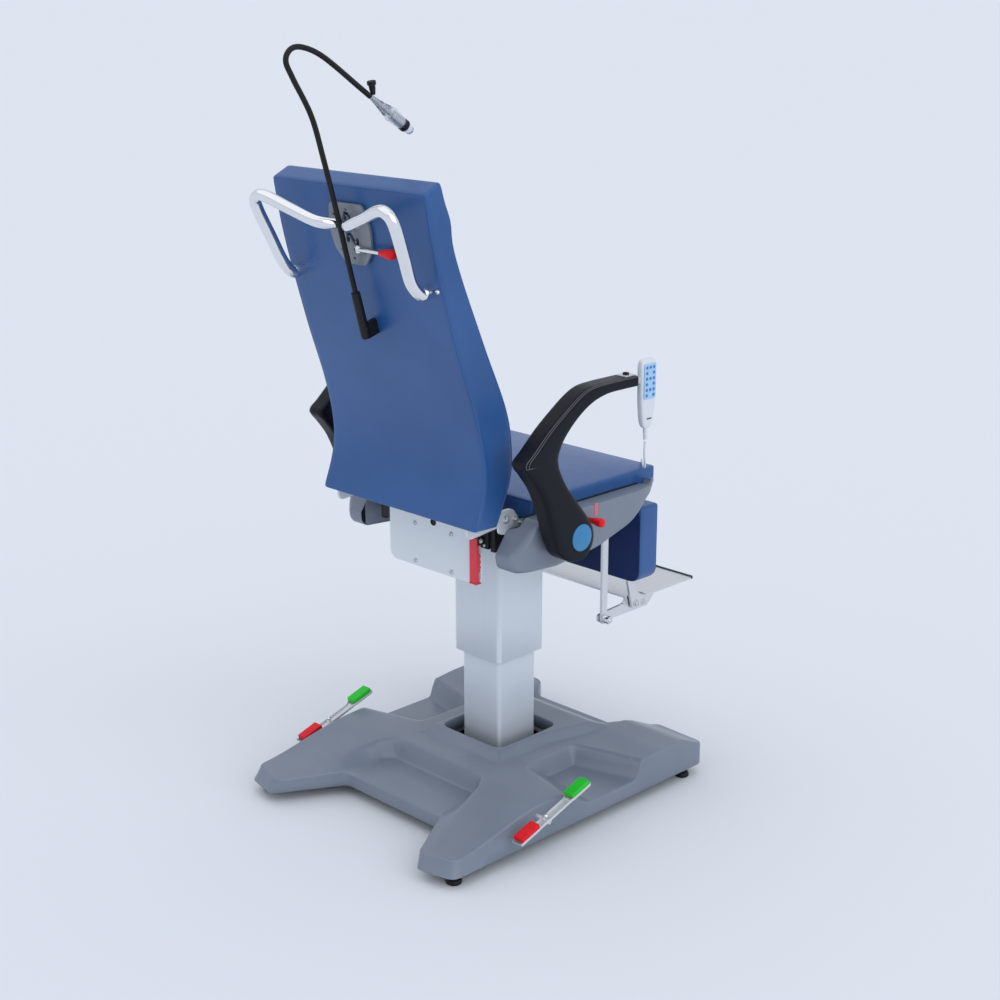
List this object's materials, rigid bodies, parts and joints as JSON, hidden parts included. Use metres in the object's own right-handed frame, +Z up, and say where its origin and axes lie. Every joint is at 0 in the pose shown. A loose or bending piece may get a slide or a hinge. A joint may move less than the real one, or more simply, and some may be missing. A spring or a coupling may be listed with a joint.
{
  "type": "ear nose and throat examination chair",
  "caption": "Examination chair with blue cushions on a lifting column: reclining back, swing-up armrests, leg rest with level foot plate, flexible lamp and a pedal base.",
  "frame": {"origin": "on the floor, under the middle of the whole chair's outer box", "axes": "+Z up, the sitter faces -Y and has the left hand at +X"},
  "size_m": [0.743, 0.9994, 1.6725],
  "materials": {
    "upholstery": "smooth blue upholstery",
    "moulded_grey": "fine satin",
    "painted_steel": "light grey satin",
    "dark_steel": "dark satin",
    "stainless": "brushed",
    "chrome": "polished",
    "black_plastic": "matt",
    "red_plastic": "gloss",
    "green_plastic": "ribbed",
    "white_plastic": "satin",
    "clear_lens": "clear"
  },
  "bodies": {
    "base": {"base_cover": "moulded_grey", "base_frame": "dark_steel", "levelling_foot_front_right": "black_plastic", "levelling_foot_front_left": "black_plastic", "levelling_foot_rear_right": "black_plastic", "levelling_foot_rear_left": "black_plastic", "column_inner_tube": "painted_steel", "lift_actuator_rod": "stainless"},
    "seat": {"column_outer_tube": "painted_steel", "column_glide_ring": "black_plastic", "lift_actuator_body": "dark_steel", "seat_frame": "dark_steel", "seat_cushion": "upholstery", "rear_plate": "painted_steel", "side_cover_right": "moulded_grey", "side_cover_left": "moulded_grey", "hinge_bracket_right": "stainless", "hinge_bracket_left": "stainless", "recline_gearmotor": "dark_steel", "legrest_gearmotor": "dark_steel", "cord_gland": "black_plastic", "handset_cord": "white_plastic"},
    "backrest": {"backrest_cushion": "upholstery", "backrest_arm_right": "dark_steel", "backrest_arm_left": "dark_steel", "recline_shaft": "stainless", "push_handle_right": "chrome", "push_handle_left": "chrome", "headrest_plate": "painted_steel", "lamp_holder": "black_plastic", "lamp_neck": "black_plastic"},
    "head_pad": {"head_pad": "upholstery", "head_pad_guide": "stainless"},
    "headrest_lever": {"headrest_lever": "stainless", "headrest_lever_knob": "red_plastic"},
    "lamp_head": {"lamp_head": "chrome", "lamp_lens": "clear_lens", "lamp_knob": "black_plastic"},
    "legrest": {"legrest_pad": "upholstery", "legrest_frame_right": "stainless", "legrest_frame_left": "stainless"},
    "legrest_bars": {"legrest_bar_right": "stainless", "legrest_bar_left": "stainless", "legrest_shaft": "stainless"},
    "footrest": {"footrest_plate": "stainless"},
    "armrest_right": {"armrest_right": "black_plastic", "handset": "white_plastic"},
    "armrest_left": {"armrest_left": "black_plastic"},
    "armrest_lock_right": {"armrest_lock_right": "red_plastic"},
    "armrest_lock_left": {"armrest_lock_left": "red_plastic"},
    "release_lever": {"release_lever": "red_plastic"},
    "pedal_right": {"pedal_shaft_right": "stainless", "pedal_pad_green_right": "green_plastic", "pedal_pad_red_right": "red_plastic"},
    "pedal_left": {"pedal_shaft_left": "stainless", "pedal_pad_green_left": "green_plastic", "pedal_pad_red_left": "red_plastic"},
    "castor_right": {"castor_wheel_right": "black_plastic"},
    "castor_left": {"castor_wheel_left": "black_plastic"}
  },
  "joints": [
    {"name": "column_lift", "type": "slide", "parent": "base", "child": "seat", "axis": [0, 0, 1], "range_m": [-0.18, 0.03]},
    {"name": "backrest_recline", "type": "hinge", "parent": "seat", "child": "backrest", "pos_m": [0, 0.12525, 0.713], "axis": [-1, 0, 0], "range_deg": [0, 60]},
    {"name": "head_pad_slide", "type": "slide", "parent": "backrest", "child": "head_pad", "axis": [0, 0.2804, 0.9599], "range_m": [-0.03, 0.03]},
    {"name": "headrest_lever_turn", "type": "hinge", "parent": "backrest", "child": "headrest_lever", "pos_m": [-0.022, 0.34187, 1.28011], "axis": [0, -0.9764, 0.216], "range_deg": [0, 35]},
    {"name": "lamp_head_turn", "type": "hinge", "parent": "backrest", "child": "lamp_head", "pos_m": [0, 0.28795, 1.5698], "axis": [0, -0.8243, -0.5662], "range_deg": [-90, 90]},
    {"name": "legrest_raise", "type": "hinge", "parent": "seat", "child": "legrest", "pos_m": [0, -0.31125, 0.666], "axis": [-1, 0, 0], "range_deg": [0, 55]},
    {"name": "legrest_bars_swing", "type": "hinge", "parent": "seat", "child": "legrest_bars", "pos_m": [0, -0.20125, 0.657], "axis": [-1, 0, 0], "range_deg": [0, 55]},
    {"name": "footrest_level", "type": "hinge", "parent": "legrest", "child": "footrest", "pos_m": [0, -0.31125, 0.412], "axis": [-1, 0, 0], "range_deg": [-55, 0]},
    {"name": "armrest_right_swing", "type": "hinge", "parent": "seat", "child": "armrest_right", "pos_m": [-0.2945, 0.02925, 0.68], "axis": [-1, 0, 0], "range_deg": [0, 75], "deforming": ["handset_cord"]},
    {"name": "armrest_left_swing", "type": "hinge", "parent": "seat", "child": "armrest_left", "pos_m": [0.2945, 0.02925, 0.68], "axis": [-1, 0, 0], "range_deg": [0, 75]},
    {"name": "armrest_lock_right_pull", "type": "slide", "parent": "seat", "child": "armrest_lock_right", "axis": [-1, 0, 0], "range_m": [0, 0.008], "stiffness_N_per_m": 600, "springref_m": -0.003},
    {"name": "armrest_lock_left_pull", "type": "slide", "parent": "seat", "child": "armrest_lock_left", "axis": [1, 0, 0], "range_m": [0, 0.008], "stiffness_N_per_m": 600, "springref_m": -0.003},
    {"name": "release_lever_pull", "type": "hinge", "parent": "seat", "child": "release_lever", "pos_m": [-0.1385, 0.13975, 0.6552], "axis": [1, 0, 0], "range_deg": [0, 25]},
    {"name": "pedal_right_press", "type": "hinge", "parent": "base", "child": "pedal_right", "pos_m": [-0.358, 0.14625, 0.08], "axis": [1, 0, 0], "range_deg": [0, 28]},
    {"name": "pedal_left_press", "type": "hinge", "parent": "base", "child": "pedal_left", "pos_m": [0.358, 0.14625, 0.08], "axis": [1, 0, 0], "range_deg": [0, 28]},
    {"name": "castor_right_roll", "type": "hinge", "parent": "pedal_right", "child": "castor_right", "pos_m": [-0.284, 0.10125, 0.033], "axis": [1, 0, 0], "continuous": true},
    {"name": "castor_left_roll", "type": "hinge", "parent": "pedal_left", "child": "castor_left", "pos_m": [0.284, 0.10125, 0.033], "axis": [1, 0, 0], "continuous": true}
  ],
  "couplings": [
    {"joint": "legrest_bars_swing", "follows": "legrest_raise", "ratio": 1},
    {"joint": "footrest_level", "follows": "legrest_raise", "ratio": -1},
    {"joint": "pedal_left_press", "follows": "pedal_right_press", "ratio": 1}
  ]
}
